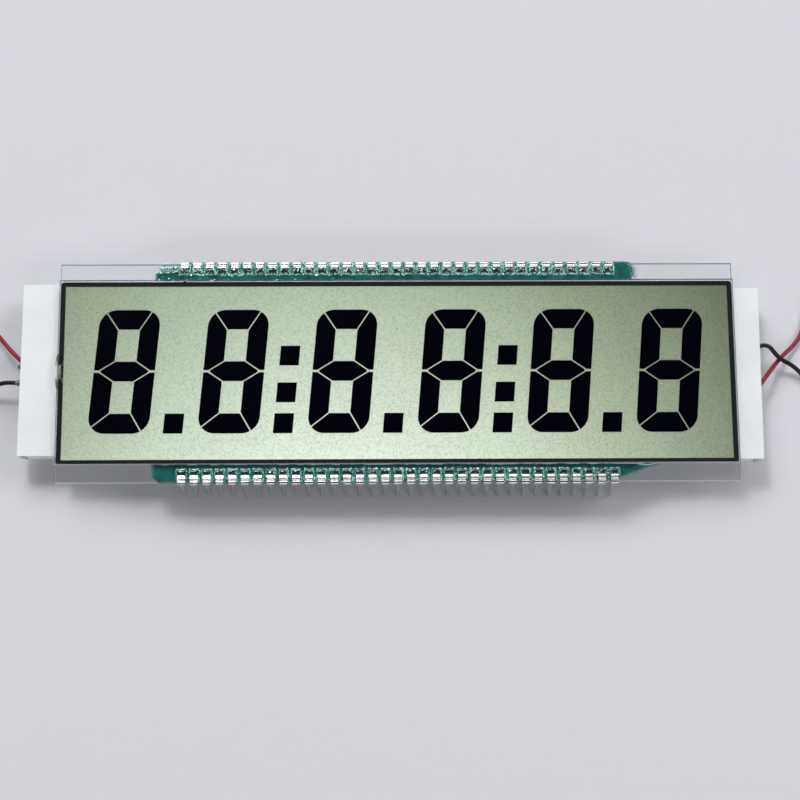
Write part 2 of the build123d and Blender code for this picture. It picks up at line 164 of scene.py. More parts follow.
def selectParts(piece, kind, test):
    # picks vertices, edges or faces by a test on each, and leaves edit mode on them
    bpy.ops.object.mode_set(mode="EDIT")
    bpy.ops.mesh.select_mode(type=kind)
    bpy.ops.mesh.select_all(action="DESELECT")
    bpy.ops.object.mode_set(mode="OBJECT")
    data = piece.data
    for part in {"VERT": data.vertices, "EDGE": data.edges, "FACE": data.polygons}[kind]:
        part.select = test(part)
    bpy.ops.object.mode_set(mode="EDIT")


def edgeEnds(piece, edge):
    return [piece.data.vertices[i].co / mm for i in edge.vertices]


def extrudeBy(step):
    bpy.ops.mesh.extrude_region_move(TRANSFORM_OT_translate={"value": Vector(step) * mm})


def faceOutwards(piece):
    makeActive(piece)
    editAll()
    bpy.ops.mesh.normals_make_consistent(inside=False)
    bpy.ops.object.mode_set(mode="OBJECT")


def copyPiece(source):
    piece = source.copy()
    piece.data = source.data.copy()
    bpy.context.collection.objects.link(piece)
    return piece


def joinPieces(pieces, name):
    deselectAll()
    for piece in pieces:
        piece.select_set(True)
    bpy.context.view_layer.objects.active = pieces[0]
    bpy.ops.object.join()
    return settle(bpy.context.object, name)


def mirrorAcross(piece, name, shift=0.0):
    # from the lower edge of the glass to the upper one
    piece.scale = (1, -1, 1)
    piece.location.y = shift * mm
    settle(piece, name)
    faceOutwards(piece)


def smoothByAngle(piece, degrees=35):
    makeActive(piece)
    bpy.ops.object.shade_smooth_by_angle(angle=math.radians(degrees))


def dress(piece, materials, nodes):
    # gives a finished piece its materials and its place in the frame
    piece.data.materials.clear()
    for material in materials:
        piece.data.materials.append(material)
    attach(piece, "root")
    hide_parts(*nodes)
    return piece


def paintNode(name, material):
    node = cadNodes[name]
    for holder in node.material_slots:
        holder.material = material


def nodeBlock(node, name):
    low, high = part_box(node)
    deselectAll()
    bpy.ops.mesh.primitive_cube_add(size=1, location=(low + high) / 2)
    piece = bpy.context.object
    piece.scale = high - low
    return settle(piece, name)


def softenEdges(piece, bevel, segments):
    applyModifier(piece, "BEVEL", width=bevel * mm, segments=segments, limit_method="ANGLE")


def nodePlate(node, name, bevel):
    # a flat piece with softened edges, at the size and place of a CAD node
    piece = nodeBlock(node, name)
    softenEdges(piece, bevel, 2)
    return piece


def softenedCopy(node, name, bevel, segments=1):
    # the CAD node's own form with its doubles merged and its sharp edges softened
    deselectAll()
    piece = copyPiece(cadNodes[node])
    for key in list(piece.keys()):
        del piece[key]
    piece.parent = None
    piece.hide_render = False
    settle(piece, name)
    editAll()
    bpy.ops.mesh.remove_doubles(threshold=0.001 * mm)
    bpy.ops.mesh.dissolve_limited(angle_limit=math.radians(1))
    faceOutwards(piece)
    softenEdges(piece, bevel, segments)
    smoothByAngle(piece)
    return piece


# Camera: the photograph's tilt, turn and roll, worked out from the pin rows and the digits
cameraView = {
    "target": (1.66, -6.05, 8.98),
    "distance": 377.6,
    "tilt": 12.0,
    "turn": 0.791,
    "roll": 0.195,
    "focalLength": 84.5,
}


def placeCamera():
    turn = Matrix.Rotation(math.radians(cameraView["tilt"]), 4, "X")
    turn = turn @ Matrix.Rotation(-math.radians(cameraView["turn"]), 4, "Y")
    turn = turn @ Matrix.Rotation(-math.radians(cameraView["roll"]), 4, "Z")
    place = Vector(cameraView["target"]) * mm + turn @ Vector((0, 0, cameraView["distance"] * mm))
    data = bpy.data.cameras.new("photographCamera")
    data.lens = cameraView["focalLength"]
    data.sensor_width = 36
    data.clip_start = 0.01
    camera = bpy.data.objects.new("photographCamera", data)
    bpy.context.collection.objects.link(camera)
    camera.matrix_world = Matrix.Translation(place) @ turn
    bpy.context.scene.camera = camera


placeCamera()
print("camera placed")


# Leads: limp stranded wire in PVC insulation, which is smooth, slightly waxy and evenly coloured
lead = {
    "diameter": 0.9,
    "sides": 6,
    "steps": 8,
    "length": 90.0,
    "level": 5.0,
    "floorLevel": 0.6,
    "outerTurn": 5.5,
    "innerTurn": 4.55,
    "upperTurn": 5.02,
    "layerRise": 0.82,
    "turns": 2.25,
    # the turns over which the winding steps in, up onto the first layer, and out again
    "stepIn": (0.8, 1.0),
    "stepUp": (1.6, 1.85),
    "stepOut": (1.85, 2.05),
    "pointsPerTurn": 14,
    # straight run past the coil, how far it starts aside, and how much it sags
    "endRun": 3.1,
    "endStart": 0.4,
    "endSag": 0.08,
}
# side of the backlight, route from the solder, coil's middle and its way along Y at the start
leadRoutes = {
    "left_red": {
        "side": -1,
        "route": [
            (-74.5, 2.35, 5.0),
            (-75.8, 3.55, 4.98),
            (-77.8, 5.6, 4.7),
            (-79.7, 7.9, 3.8),
            (-81.6, 10.1, 2.3),
            (-83.4, 12.2, 0.9),
        ],
        "coil": (-89.5, 14.9),
        "way": 1,
    },
    "left_black": {
        "side": -1,
        "route": [
            (-75.9, -1.45, 5.0),
            (-77.4, -1.25, 4.9),
            (-79.4, -1.35, 4.5),
            (-81.4, -1.95, 3.3),
            (-83.0, -3.3, 1.9),
            (-83.9, -5.2, 0.85),
        ],
        "coil": (-89.5, -7.4),
        "way": -1,
    },
    "right_black": {
        "side": 1,
        "route": [
            (74.5, 5.3, 5.0),
            (76.9, 6.75, 5.2),
            (79.5, 3.5, 3.9),
            (82.6, 2.5, 2.3),
            (85.0, 0.6, 1.1),
            (86.3, -2.2, 0.68),
        ],
        "coil": (92.0, -6.2),
        "way": -1,
    },
    "right_red": {
        "side": 1,
        "route": [
            (74.5, -3.3, 5.0),
            (75.7, -1.7, 4.95),
            (77.3, 0.4, 4.1),
            (79.2, 2.75, 2.9),
            (81.0, 4.7, 1.9),
            (83.2, 6.7, 1.1),
            (85.3, 9.4, 0.68),
        ],
        "coil": (92.0, 14.6),
        "way": 1,
    },
}


def coilPoints(route):
    side, way = route["side"], route["way"]
    x, y = route["coil"]
    startAngle = 0 if side < 0 else math.pi
    spin = -side * way
    outward = 1 / math.cos(math.pi / lead["pointsPerTurn"])
    inner, upper = lead["innerTurn"], lead["upperTurn"]
    points = []
    for step in range(round(lead["turns"] * lead["pointsPerTurn"]) + 1):
        turn = step / lead["pointsPerTurn"]
        stepIn, stepUp, stepOut = (
            smoothStep((turn - start) / (end - start))
            for start, end in (lead["stepIn"], lead["stepUp"], lead["stepOut"])
        )
        radius = lead["outerTurn"] + (inner - lead["outerTurn"]) * stepIn + (upper - inner) * stepOut
        height = lead["floorLevel"] + lead["layerRise"] * stepUp
        angle = startAngle + spin * turn * 2 * math.pi
        reach = radius * outward if step else radius
        points.append((x + reach * math.cos(angle), y + reach * math.sin(angle), height))
    top = lead["floorLevel"] + lead["layerRise"]
    last = y + way * upper
    points[-1] = (x + side * lead["endStart"], last, top)
    points.append((x + side * lead["endRun"], last, top - lead["endSag"]))
    return points


def newCurve(name, radius, sides, steps, lines):
    # round wire along each line of points, in millimetres, with sides round it and steps from point to point
    curve = bpy.data.curves.new(name, "CURVE")
    curve.dimensions = "3D"
    curve.bevel_depth = radius * mm
    curve.bevel_resolution = sides
    curve.resolution_u = steps
    curve.use_fill_caps = True
    for points in lines:
        spline = curve.splines.new("NURBS")
        spline.points.add(len(points) - 1)
        for place, point in zip(spline.points, points):
            place.co = (*(Vector(point) * mm), 1)
        spline.order_u = 3
        spline.use_endpoint_u = True
    piece = bpy.data.objects.new(name, curve)
    bpy.context.collection.objects.link(piece)
    return piece


def leadCurve(name, material):
    points = leadRoutes[name]["route"] + coilPoints(leadRoutes[name])
    piece = newCurve(name + "_flex", lead["diameter"] / 2, lead["sides"], lead["steps"], [points])
    piece.data.materials.append(material)
    return piece


def pvcInsulation(name, code, sheen):
    # extruded PVC: even colour, soft gloss and a faint unevenness
    values = {"Roughness": 0.38, "IOR": 1.53, "Specular IOR Level": 0.3}
    return mottled(name, (0.5, 2), [(0.3, code), (0.8, sheen)], values, (0.25, 2, 0.01))


def tinnedCopper():
    # dip-tinned strands: bright, a little dull and uneven
    tones = [(0.3, "#A8A49C"), (0.7, "#D6D4CE")]
    return mottled("tinnedCopper", (0.2, 2), tones, {"Metallic": 1.0, "Roughness": 0.3})


def nylonTie():
    # translucent white nylon strap
    tones = [(0.3, "#D5D4CC"), (0.7, "#E4E3DC")]
    values = {"Roughness": 0.45, "IOR": 1.53, "Subsurface Weight": 0.2, "Subsurface Radius": (0.001,) * 3}
    return mottled("nylonTie", (0.4, 2), tones, values)


tie = {"cornerRadius": 0.35, "thickness": 0.15, "edge": 0.03}
tip = {
    "strandRadius": 0.1,
    "ringRadius": 0.18,
    "strands": 6,
    "twists": 2.5,
    "length": 4.6,
    "points": 40,
    "sides": 2,
    "steps": 2,
    # how far the strands start inside the insulation, and how far they end above the floor
    "overlap": 0.1,
    "clearance": 0.03,
}


def coilTie(name, material):
    piece = nodeBlock(name + "_tie", name + "_strap")

    def runsAlong(edge):
        a, b = edgeEnds(piece, edge)
        return abs(a.y - b.y) > 0.5

    selectParts(piece, "EDGE", runsAlong)
    bpy.ops.mesh.bevel(offset=tie["cornerRadius"] * mm, segments=4, affect="EDGES")
    selectParts(piece, "FACE", lambda face: abs(face.normal.y) > 0.9)
    bpy.ops.mesh.delete(type="FACE")
    bpy.ops.object.mode_set(mode="OBJECT")
    applyModifier(piece, "SOLIDIFY", thickness=tie["thickness"] * mm, offset=-1)
    softenEdges(piece, tie["edge"], 1)
    smoothByAngle(piece)
    return dress(piece, [material], [name + "_tie"])


def strippedTip(name, material):
    # strands twisted round the axis of the bare end
    route = leadRoutes[name]
    x, y = route["coil"]
    side, top = route["side"], lead["floorLevel"] + lead["layerRise"]
    along = x + side * (lead["endRun"] - tip["overlap"])
    start = Vector((along, y + route["way"] * lead["upperTurn"], top - lead["endSag"]))
    low = tip["strandRadius"] + tip["ringRadius"] + tip["clearance"]
    run = Vector((start.x + side * tip["length"], start.y, low)) - start
    across = Vector((0, 1, 0))
    upward = run.normalized().cross(across)
    lines = []
    for strand in range(tip["strands"]):
        points = []
        for i in range(tip["points"]):
            share = i / (tip["points"] - 1)
            angle = 2 * math.pi * (strand / tip["strands"] + tip["twists"] * share)
            ring = tip["ringRadius"] * (across * math.cos(angle) + upward * math.sin(angle))
            points.append(start + run * share + ring)
        lines.append(points)
    makeActive(newCurve(name + "_strands", tip["strandRadius"], tip["sides"], tip["steps"], lines))
    bpy.ops.object.convert(target="MESH")
    piece = bpy.context.object
    smoothByAngle(piece, 60)
    return dress(piece, [material], [name + "_tip"])


redPvc = pvcInsulation("redPvc", "#7E0C24", "#971A33")
blackPvc = pvcInsulation("blackPvc", "#060608", "#0D0D10")
tinned = tinnedCopper()
nylon = nylonTie()


def makeLeads():
    for name, route in leadRoutes.items():
        red = name.endswith("red")
        flex = leadCurve(name, redPvc if red else blackPvc)
        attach(flex, "root")
        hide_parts(name + "_lead", name + "_coil")
        strap = coilTie(name, nylon)
        strands = strippedTip(name, tinned)


makeLeads()
print("leads made:", len(leadRoutes))


# Display glass: soda-lime glass, scribed and broken, with ground arrises along its edges
glass = {
    "arris": 0.1,
    # colours of the broken wall, its grey-green darkened as painted shade, and of the front edges and
    # arrises, a painted highlight
    "wall": ("#4A5358", "#7F898D"),
    "bright": ("#CFD1D4", "#F4F4F6"),
    # the rear sheet's far edge is in by this much
    "farEdge": 0.2,
}


def shineInFront(material, through, gloss, shine):
    # light isn't bent on its way in, so the inner side of a clear piece gets no mirror of its own
    fresnel = addNode(material, "ShaderNodeFresnel", {"IOR": shine}).outputs[0]
    outer = addNode(material, "ShaderNodeMixShader", links={"Fac": fresnel, 1: through, 2: gloss})
    inside = addNode(material, "ShaderNodeNewGeometry").outputs["Backfacing"]
    links = {"Fac": inside, 1: outer.outputs[0], 2: through}
    return addNode(material, "ShaderNodeMixShader", links=links).outputs[0]


def clearGlass(name, roughness, shine):
    # thin flat glass: clear straight through, with a mirror reflection that grows at a glance
    material = newMaterial(name)
    through = addNode(material, "ShaderNodeBsdfTransparent", {"Color": (1, 1, 1, 1)}).outputs[0]
    gloss = addNode(material, "ShaderNodeBsdfGlossy", {"Color": (1, 1, 1, 1), "Roughness": roughness})
    return addOutput(material, shineInFront(material, through, gloss.outputs[0], shine))


def brokenGlass(name, low, high, alpha):
    # a scribed and broken edge: frosted in patches and half see-through
    values = {"Roughness": 0.25, "IOR": 1.52, "Alpha": alpha}
    return mottled(name, (0.35, 4), [(0.35, low), (0.7, high)], values, (0.35, 4, 0.05))


def transflector():
    # the rear polarising film has a silvery backing that lets the backlight through
    tones = [(0.3, "#8F958F"), (0.75, "#A3A9A2")]
    return mottled("transflectiveFilm", (0.3, 3), tones, {"Metallic": 0.4, "Roughness": 0.45})


def glassSheet(node, name, faceMaterial, farEdge=0.0):
    piece = nodePlate(node, name, glass["arris"])
    for vertex in piece.data.vertices:
        if vertex.co.y > 0:
            vertex.co.y -= farEdge * mm
    dress(piece, [faceMaterial, brokenWallPaintedShade, paintedHighlightEdge], [node])
    piece.visible_shadow = False  # clear glass lets the lamps through
    # the front walls and the arrises get the painted highlight, the other walls the painted shade
    for face in piece.data.polygons:
        steep = abs(face.normal.z)
        if steep < 0.3:
            face.material_index = 2 if face.normal.y < -0.5 else 1
        elif steep < 0.9:
            face.material_index = 2
    return piece


brokenWallPaintedShade = brokenGlass("brokenGlassWallPaintedShade", *glass["wall"], 0.8)
paintedHighlightEdge = brokenGlass("paintedHighlightGlassEdge", *glass["bright"], 0.75)
# the front sheet is laminated under its film, so its faces hardly shine
glassSheet("front_glass", "frontGlass", clearGlass("laminatedGlass", 0.02, 1.1))
glassSheet("rear_glass", "rearGlass", clearGlass("sodaLimeGlass", 0.02, 1.5), glass["farEdge"])
paintNode("front_polariser", clearGlass("frontPolariserFilm", 0.12, 1.4))
paintNode("rear_polariser", transflector())
print("glass and polariser done")


# Liquid crystal and electrodes
view = {
    "middle": (1.2, -0.225),
    "length": 134.5,
    "height": 35.75,
    # painted light and shade across the film, along X for its upper and lower edges
    "upperTonesPaintedLight": [
        (0.0, "#9DA98F"),
        (0.17, "#B1C2A9"),
        (0.36, "#BDCDB5"),
        (0.5, "#B8C8AF"),
        (0.65, "#A9B89F"),
        (0.8, "#929F86"),
        (1.0, "#717D67"),
    ],
    "lowerTonesPaintedLight": [
        (0.0, "#BDCBB3"),
        (0.17, "#E0EFDA"),
        (0.32, "#F2FFED"),
        (0.48, "#F3FFEE"),
        (0.65, "#E5F4DB"),
        (0.8, "#C6D4BA"),
        (1.0, "#939F87"),
    ],
    "sparkle": 0.34,
    # the films' own gloss is on the glass over them
    "finish": {"Roughness": 0.9, "Specular IOR Level": 0.0},
}


def crystalLayer():
    # the unlit film behind the crystal is grey-green, under painted light and shade: lighter low in the
    # middle, darker towards the top and both ends, most at the right, with a fine sparkle
    material = newMaterial("transflectiveCrystal")
    place = addNode(material, "ShaderNodeTexCoord").outputs["Object"]
    (x, y), length, height = view["middle"], view["length"], view["height"]
    values = {
        "Location": (0.5 - x / length, 0.5 - y / height, 0),
        "Scale": (1 / (length * mm), 1 / (height * mm), 1),
    }
    unit = addNode(material, "ShaderNodeMapping", values, {"Vector": place}).outputs[0]
    axes = addNode(material, "ShaderNodeSeparateXYZ", links={"Vector": unit}).outputs
    upper = addRamp(material, axes["X"], view["upperTonesPaintedLight"])
    lower = addRamp(material, axes["X"], view["lowerTonesPaintedLight"])
    tone = mixColours(material, axes["Y"], lower, upper)
    fleck = addRamp(material, grain(material, view["sparkle"], 3), [(0.38, "#E8E8E8"), (0.52, "#FFFFFF")])
    speckled = mixColours(material, 1.0, tone, fleck, "MULTIPLY")
    shader = addNode(material, "ShaderNodeBsdfPrincipled", view["finish"], {"Base Color": speckled})
    return addOutput(material, shader.outputs["BSDF"])


def darkenedCrystal():
    # switched-on segments: the crossed films let almost nothing back, a trace of blue at most
    return mottled("darkenedCrystal", (0.3, 3), [(0.3, "#010108"), (0.75, "#04040F")], view["finish"])


def epoxySeal():
    # screen-printed epoxy line, nearly black with a cold tone
    values = {"Roughness": 0.7, "Specular IOR Level": 0.2}
    return mottled("epoxySeal", (0.4, 3), [(0.3, "#060A0C"), (0.75, "#121B1D")], values)


# how far the line's outer side spreads, and how wide a strip of it moves
sealLine = {"spread": 0.16, "reach": 0.65}


def makeSealLine(material):
    # the printed line, spread outwards by the pressing of the glasses
    piece = softenedCopy("perimeter_seal", "sealLine", 0.01)
    low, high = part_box("perimeter_seal")
    middle = (low + high) / 2
    for vertex in piece.data.vertices:
        for axis in (0, 1):
            away = vertex.co[axis] - middle[axis]
            if abs(away) > high[axis] - middle[axis] - sealLine["reach"] * mm:
                vertex.co[axis] += math.copysign(sealLine["spread"] * mm, away)
    return dress(piece, [material], ["perimeter_seal"])


def silverPaste():
    # silver-filled conductive paste, painted dark for the shade between the glasses
    values = {"Roughness": 0.6, "Metallic": 0.3}
    return mottled("silverPaste", (0.15, 3), [(0.3, "#141414"), (0.75, "#2A2A2C")], values)


paintNode("liquid_crystal", crystalLayer())
dark = darkenedCrystal()
for node in cadNodes:
    if node.startswith("digit_") or node in ("decimal_points", "colon_dots"):
        paintNode(node, dark)
seal = epoxySeal()
makeSealLine(seal)
paintNode("fill_port_dam", seal)
paintNode("crossover_dots", silverPaste())
print("display area painted")


# End seal: a drop of clear UV resin over the filling mouth
endSeal = {
    "rings": 24,
    "segments": 48,
    "overlap": 0.01,
    "paintedLightShare": 0.65,
    # painted dark rims and a painted white highlight, from its near end to its far one
    "tones": [
        (0.0, "#2E363A"),
        (0.2, "#6A7276"),
        (0.36, "#FFFFFF"),
        (0.62, "#FFFFFF"),
        (0.78, "#6A7276"),
        (1.0, "#2E363A"),
    ],
}


def uvResin(low, high):
    # clear, with a painted white highlight across the thick middle and painted dark rims at the thin ends
    material = newMaterial("clearUvResin")
    ripple = grain(material, 0.9, 1)
    place = addNode(material, "ShaderNodeTexCoord").outputs["Object"]
    axes = addNode(material, "ShaderNodeSeparateXYZ", links={"Vector": place}).outputs
    values = {"From Min": low.y, "From Max": high.y}
    along = addNode(material, "ShaderNodeMapRange", values, {"Value": axes["Y"]}).outputs[0]
    colour = addRamp(material, along, endSeal["tones"])
    through = addNode(material, "ShaderNodeBsdfTransparent", {"Color": hexColour("#EEF3F0")})
    gloss = addNode(
        material,
        "ShaderNodeBsdfGlossy",
        {"Color": (1, 1, 1, 1), "Roughness": 0.04},
        {"Normal": bumpFrom(material, ripple, 0.08)},
    )
    # a matt body in the painted highlight and rim colours
    body = addNode(material, "ShaderNodeBsdfDiffuse", links={"Color": colour})
    links = {1: through.outputs[0], 2: body.outputs[0]}
    paintedBody = addNode(material, "ShaderNodeMixShader", {"Fac": endSeal["paintedLightShare"]}, links)
    return addOutput(material, shineInFront(material, paintedBody.outputs[0], gloss.outputs[0], 1.6))


def makeEndSeal():
    low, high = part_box("end_seal")
    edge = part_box("rear_glass")[0].x
    middle = (low + high) / 2
    deselectAll()
    place = (edge, middle.y, middle.z)
    bpy.ops.mesh.primitive_uv_sphere_add(
        segments=endSeal["segments"], ring_count=endSeal["rings"], radius=1, location=place
    )
    piece = bpy.context.object
    piece.scale = (edge - low.x, (high.y - low.y) / 2, (high.z - low.z) / 2)
    settle(piece, "endSealDrop")
    # the drop is cut flat where it wets the glass edge
    editAll()
    cut = (edge + endSeal["overlap"] * mm, middle.y, middle.z)
    bpy.ops.mesh.bisect(plane_co=cut, plane_no=(1, 0, 0), use_fill=True, clear_outer=True)
    bpy.ops.object.mode_set(mode="OBJECT")
    smoothByAngle(piece, 50)
    return dress(piece, [uvResin(low, high)], ["end_seal"])


makeEndSeal()
print("end seal made")


# Backlight: a moulded white tray under a diffuser film
backlight = {
    "trayEdge": 0.18,
    "filmEdge": 0.04,
    "boardEdge": 0.05,
    "reflectorEdge": 0.02,
    # it sits a little askew under the glass: degrees, and how far the side beyond this Y is moved in
    "turn": -0.42,
    "farSide": 13.0,
    "trim": 0.45,
}


def whiteTray():
    # glossy white ABS filled with titanium white, with the faint bloom of a mould surface
    tones = [(0.3, "#DADDE0"), (0.75, "#E6E9EB")]
    values = {"Roughness": 0.35, "IOR": 1.53, "Subsurface Weight": 0.15, "Subsurface Radius": (0.001,) * 3}
    return mottled("whiteAbs", (6, 3), tones, values, (0.2, 2, 0.004))


def diffuserFilm():
    # matt white PET, evenly scattering, with a fine particle texture
    tones = [(0.3, "#E0E4E7"), (0.75, "#E9EDEF")]
    return mottled("diffuserFilm", (9, 2), tones, {"Roughness": 0.5, "IOR": 1.57}, (0.12, 2, 0.004))


def acrylicGuide():
    # clear cast acrylic
    values = {"Roughness": 0.08, "IOR": 1.49, "Alpha": 0.6}
    return mottled("acrylicGuide", (1.5, 2), [(0.3, "#D3E2E2"), (0.75, "#E4EEEE")], values)


def solderMask():
    # white solder mask over glass-fibre board
    tones = [(0.3, "#B9BDB4"), (0.75, "#CED1C9")]
    return mottled("whiteSolderMask", (0.5, 3), tones, {"Roughness": 0.4, "IOR": 1.5})


def diodePhosphor():
    # yellow phosphor in silicone over each diode
    return mottled("diodePhosphor", (0.3, 3), [(0.3, "#D8C987"), (0.75, "#EBDFA8")], {"Roughness": 0.35})


def seatBacklight(piece, materials, node):
    for vertex in piece.data.vertices:
        if vertex.co.y > backlight["farSide"] * mm:
            vertex.co.y -= backlight["trim"] * mm
    piece.data.transform(Matrix.Rotation(math.radians(backlight["turn"]), 4, "Z"))
    dress(piece, materials, [node])


def makeBacklight():
    film = diffuserFilm()
    tray = softenedCopy("backlight_tray", "backlightTray", backlight["trayEdge"], 2)
    seatBacklight(tray, [whiteTray()], "backlight_tray")
    sheet = nodePlate("diffuser_sheet", "diffuserSheet", backlight["filmEdge"])
    seatBacklight(sheet, [film], "diffuser_sheet")
    under = softenedCopy("reflector_sheet", "reflectorSheet", backlight["reflectorEdge"])
    seatBacklight(under, [film], "reflector_sheet")
    guide = softenedCopy("light_guide", "lightGuide", backlight["boardEdge"])
    seatBacklight(guide, [acrylicGuide()], "light_guide")
    mask, phosphor = solderMask(), diodePhosphor()
    for side in ("left", "right"):
        board = softenedCopy(side + "_light_board", side + "LightBoard", backlight["boardEdge"])
        seatBacklight(board, [mask], side + "_light_board")
        diodes = softenedCopy(side + "_light_diodes", side + "LightDiodes", backlight["boardEdge"])
        seatBacklight(diodes, [phosphor], side + "_light_diodes")


makeBacklight()
print("backlight made")


# Solder joints: each runs from the board's pad up the bare strands to the insulation
solder = {
    "face": 74.1,
    # name: place along Y, and the distance from the pad and radius of each ring
    "profiles": {
        "left_red": (1.95, [(0.0, 0.6), (0.7, 0.62), (1.3, 0.6), (1.7, 0.48), (1.9, 0.2)]),
        "left_black": (-1.45, [(0.0, 0.72), (0.9, 0.8), (1.4, 0.62), (2.0, 0.53), (2.5, 0.47)]),
        "right_black": (5.3, [(0.0, 0.6), (0.2, 0.6), (0.4, 0.46)]),
        "right_red": (-3.3, [(0.0, 0.6), (0.2, 0.6), (0.4, 0.46)]),
    },
    "sides": 24,
    # how strongly the surface pulls in round the strands, and how densely
    "lump": 0.14,
    "lumps": 1900,
}


def solderTin():
    # hand-soldered tin: grey, slightly dull where it cooled last
    values = {"Metallic": 1.0, "Roughness": 0.32}
    return mottled("solderTin", (0.3, 3), [(0.3, "#66666A"), (0.75, "#98989A")], values, (0.3, 3, 0.03))


def solderBlob(name):
    side = leadRoutes[name]["side"]
    y, profile = solder["profiles"][name]
    deselectAll()
    bpy.ops.mesh.primitive_circle_add(
        vertices=solder["sides"],
        radius=profile[0][1] * mm,
        fill_type="NGON",
        location=(side * solder["face"] * mm, y * mm, lead["level"] * mm),
        rotation=(0, math.pi / 2, 0),
    )
    blob = settle(bpy.context.object, name + "Solder")
    editAll()
    for (start, before), (end, after) in zip(profile, profile[1:]):
        extrudeBy((side * (end - start), 0, 0))
        bpy.ops.transform.resize(value=(after / before,) * 3)
    faceOutwards(blob)
    applyModifier(blob, "SUBSURF", levels=2, render_levels=2)
    axis = Vector((0, y, lead["level"])) * mm
    for vertex in blob.data.vertices:
        lump = 1 + solder["lump"] * noise.noise(vertex.co * solder["lumps"])
        around = vertex.co - axis
        vertex.co = axis + Vector((around.x, around.y * lump, around.z * lump))
    return blob


def makeSolder():
    tin = solderTin()
    for sideName, side in (("left", -1), ("right", 1)):
        blobs = [solderBlob(name) for name, route in leadRoutes.items() if route["side"] == side]
        piece = joinPieces(blobs, sideName + "SolderBlobs")
        smoothByAngle(piece, 60)
        dress(piece, [tin], [sideName + "_solder_joints"])


makeSolder()
print("solder joints made")


# Clip-on pins: phosphor bronze strip, stamped, bent and tin plated
clip = {
    "count": 35,
    "pitch": 2.54,
    "middle": 1.2,
    "glassEdge": 22.65,
    "thickness": 0.25,
    "width": 1.5,
    "legWidth": 0.5,
    "pointWidth": 0.24,
    "pointLength": 1.0,
    "prongReach": 1.3,
    "splay": 9.0,
    "bend": 0.12,
    "edge": 0.03,
    "seat": 9.045,
    "web": 0.14,
    "prongLevel": 7.655,
    # distance in from the glass edge and rise over the seat, from the finger's tip to the web
    "finger": [(2.35, 0.06), (1.9, 0.0), (1.5, 0.24), (0.86, 0.4), (0.6, 0.12), (0.28, 0.4), (-0.14, 0.3)],
    # how far the lower row stands off the glass and the upper one is pushed on
    "shift": {"lower": -0.3, "upper": -0.2},
    # how unevenly the clips sit along the edge
    "sway": 0.02,
}


def selectVertices(piece, test):
    # by their places in millimetres
    selectParts(piece, "VERT", lambda vertex: test(vertex.co / mm))


def makeClip():
    half = clip["width"] / 2
    stem = clip["legWidth"] / 2
    reach, rise = clip["finger"][0]
    deselectAll()
    bpy.ops.mesh.primitive_plane_add(size=clip["width"] * mm)
    piece = bpy.context.object
    # one edge of the plane is the end of the finger, cut in three for the prongs and the leg
    selectVertices(piece, lambda place: place.y > 0)
    bpy.ops.mesh.delete(type="VERT")
    bpy.ops.mesh.select_all(action="SELECT")
    bpy.ops.mesh.subdivide(number_cuts=2)
    bpy.ops.object.mode_set(mode="OBJECT")
    for vertex in piece.data.vertices:
        x = vertex.co.x / mm
        x = math.copysign(half if abs(x) > half * 0.9 else stem, x)
        vertex.co = Vector((x, -clip["glassEdge"] + reach, clip["seat"] + rise)) * mm
    editAll()
    for (a, low), (b, high) in zip(clip["finger"], clip["finger"][1:]):
        extrudeBy((0, b - a, high - low))
    webTop = clip["seat"] + clip["finger"][-1][1]
    extrudeBy((0, 0, clip["prongLevel"] - webTop))
    # leg: leans outwards and ends in a point
    slant = math.radians(clip["splay"])
    run = (clip["prongLevel"] - clip["thickness"] / 2 * math.sin(slant)) / math.cos(slant)
    down = Vector((0, -math.sin(slant), -math.cos(slant)))
    bottom = clip["prongLevel"]
    selectVertices(piece, lambda place: abs(place.z - bottom) < 0.01 and abs(place.x) < half * 0.9)
    extrudeBy(down * (run - clip["pointLength"]))
    extrudeBy(down * clip["pointLength"])
    bpy.ops.transform.resize(value=(clip["pointWidth"] / clip["legWidth"], 1, 1))
    # prongs: two tongues that turn in under the glass
    web = -clip["glassEdge"] - clip["web"]

    def underWeb(place, side):
        away = math.hypot(place.y - web, place.z - bottom)
        return away < 0.01 and place.x * side > stem * 0.9

    for side in (-1, 1):
        selectVertices(piece, lambda place: underWeb(place, side))
        extrudeBy((0, clip["prongReach"] + clip["web"], 0))
    # the bends of the finger are rounded
    inside = -clip["glassEdge"] + reach - 0.1

    def isBend(edge):
        a, b = edgeEnds(piece, edge)
        level = abs(a.z - b.z) < 0.001 and abs(a.y - b.y) < 0.001
        return level and a.z > bottom + 0.5 and a.y < inside

    selectParts(piece, "EDGE", isBend)
    bpy.ops.mesh.bevel(offset=clip["bend"] * mm, segments=3, affect="EDGES", clamp_overlap=True)
    bpy.ops.object.mode_set(mode="OBJECT")
    applyModifier(piece, "SOLIDIFY", thickness=clip["thickness"] * mm, offset=0, use_even_offset=True)
    applyModifier(piece, "BEVEL", width=clip["edge"] * mm, segments=1, limit_method="ANGLE", angle_limit=0.9)
    smoothByAngle(piece)
    return piece


def tinPlate():
    # bright tin plating over rolled strip, with fine rolling marks and stains
    values = {"Metallic": 0.95, "Roughness": 0.22}
    rolling = (0.12, 2, (1, 0.2, 0.2), 0.006)
    return mottled("brightTinPlate", (1.3, 3), [(0.3, "#CBC9C6"), (0.7, "#EAE9E8")], values, rolling)


